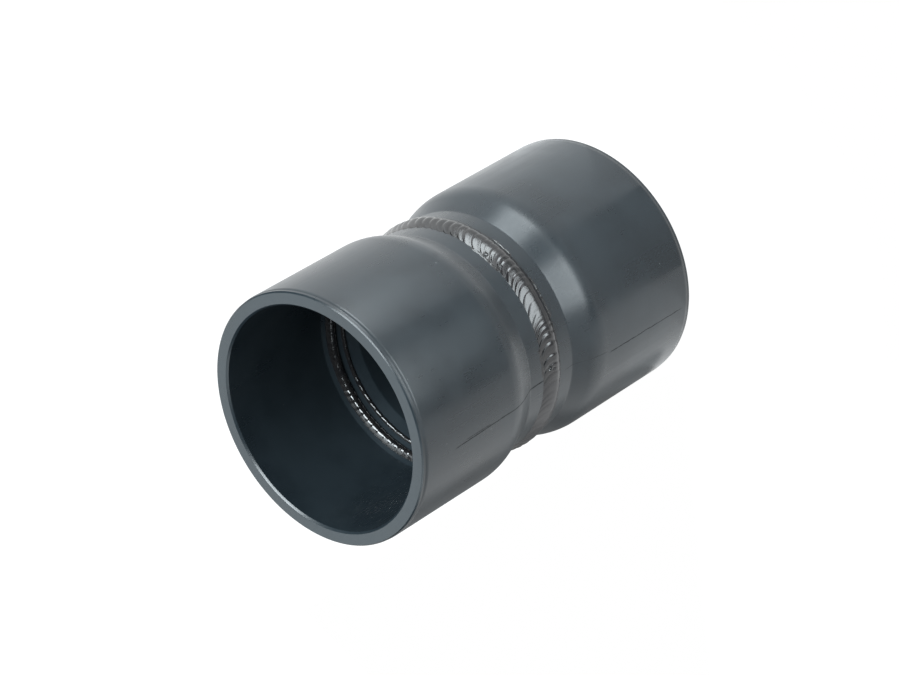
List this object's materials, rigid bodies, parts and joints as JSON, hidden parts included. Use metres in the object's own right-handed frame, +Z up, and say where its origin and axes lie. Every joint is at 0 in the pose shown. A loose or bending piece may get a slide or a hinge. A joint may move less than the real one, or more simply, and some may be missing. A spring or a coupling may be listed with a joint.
{
  "type": "pvc pipe coupler",
  "caption": "Straight pipe coupler of two belled sockets, welded neck to neck with a rippled bead.",
  "frame": {"origin": "centre of the rear mouth's end face, which the part stands on", "axes": "+Z up along the axis, from the rear mouth to the front mouth; the part is turned about Z, and the weld's ripples are the only thing that sets X and Y"},
  "size_m": [0.1244, 0.1244, 0.1936],
  "materials": {
    "pipe_pvc": "dark blue-grey rigid PVC, satin, fine axial scratches",
    "weld_pvc": "melted PVC weld rod, glossy ripples"
  },
  "bodies": {
    "root": {"front_bell_socket": "pipe_pvc", "rear_bell_socket": "pipe_pvc", "outer_weld_bead": "weld_pvc", "front_stop_weld": "weld_pvc", "front_inner_weld": "weld_pvc", "rear_stop_weld": "weld_pvc", "rear_inner_weld": "weld_pvc"}
  },
  "joints": []
}
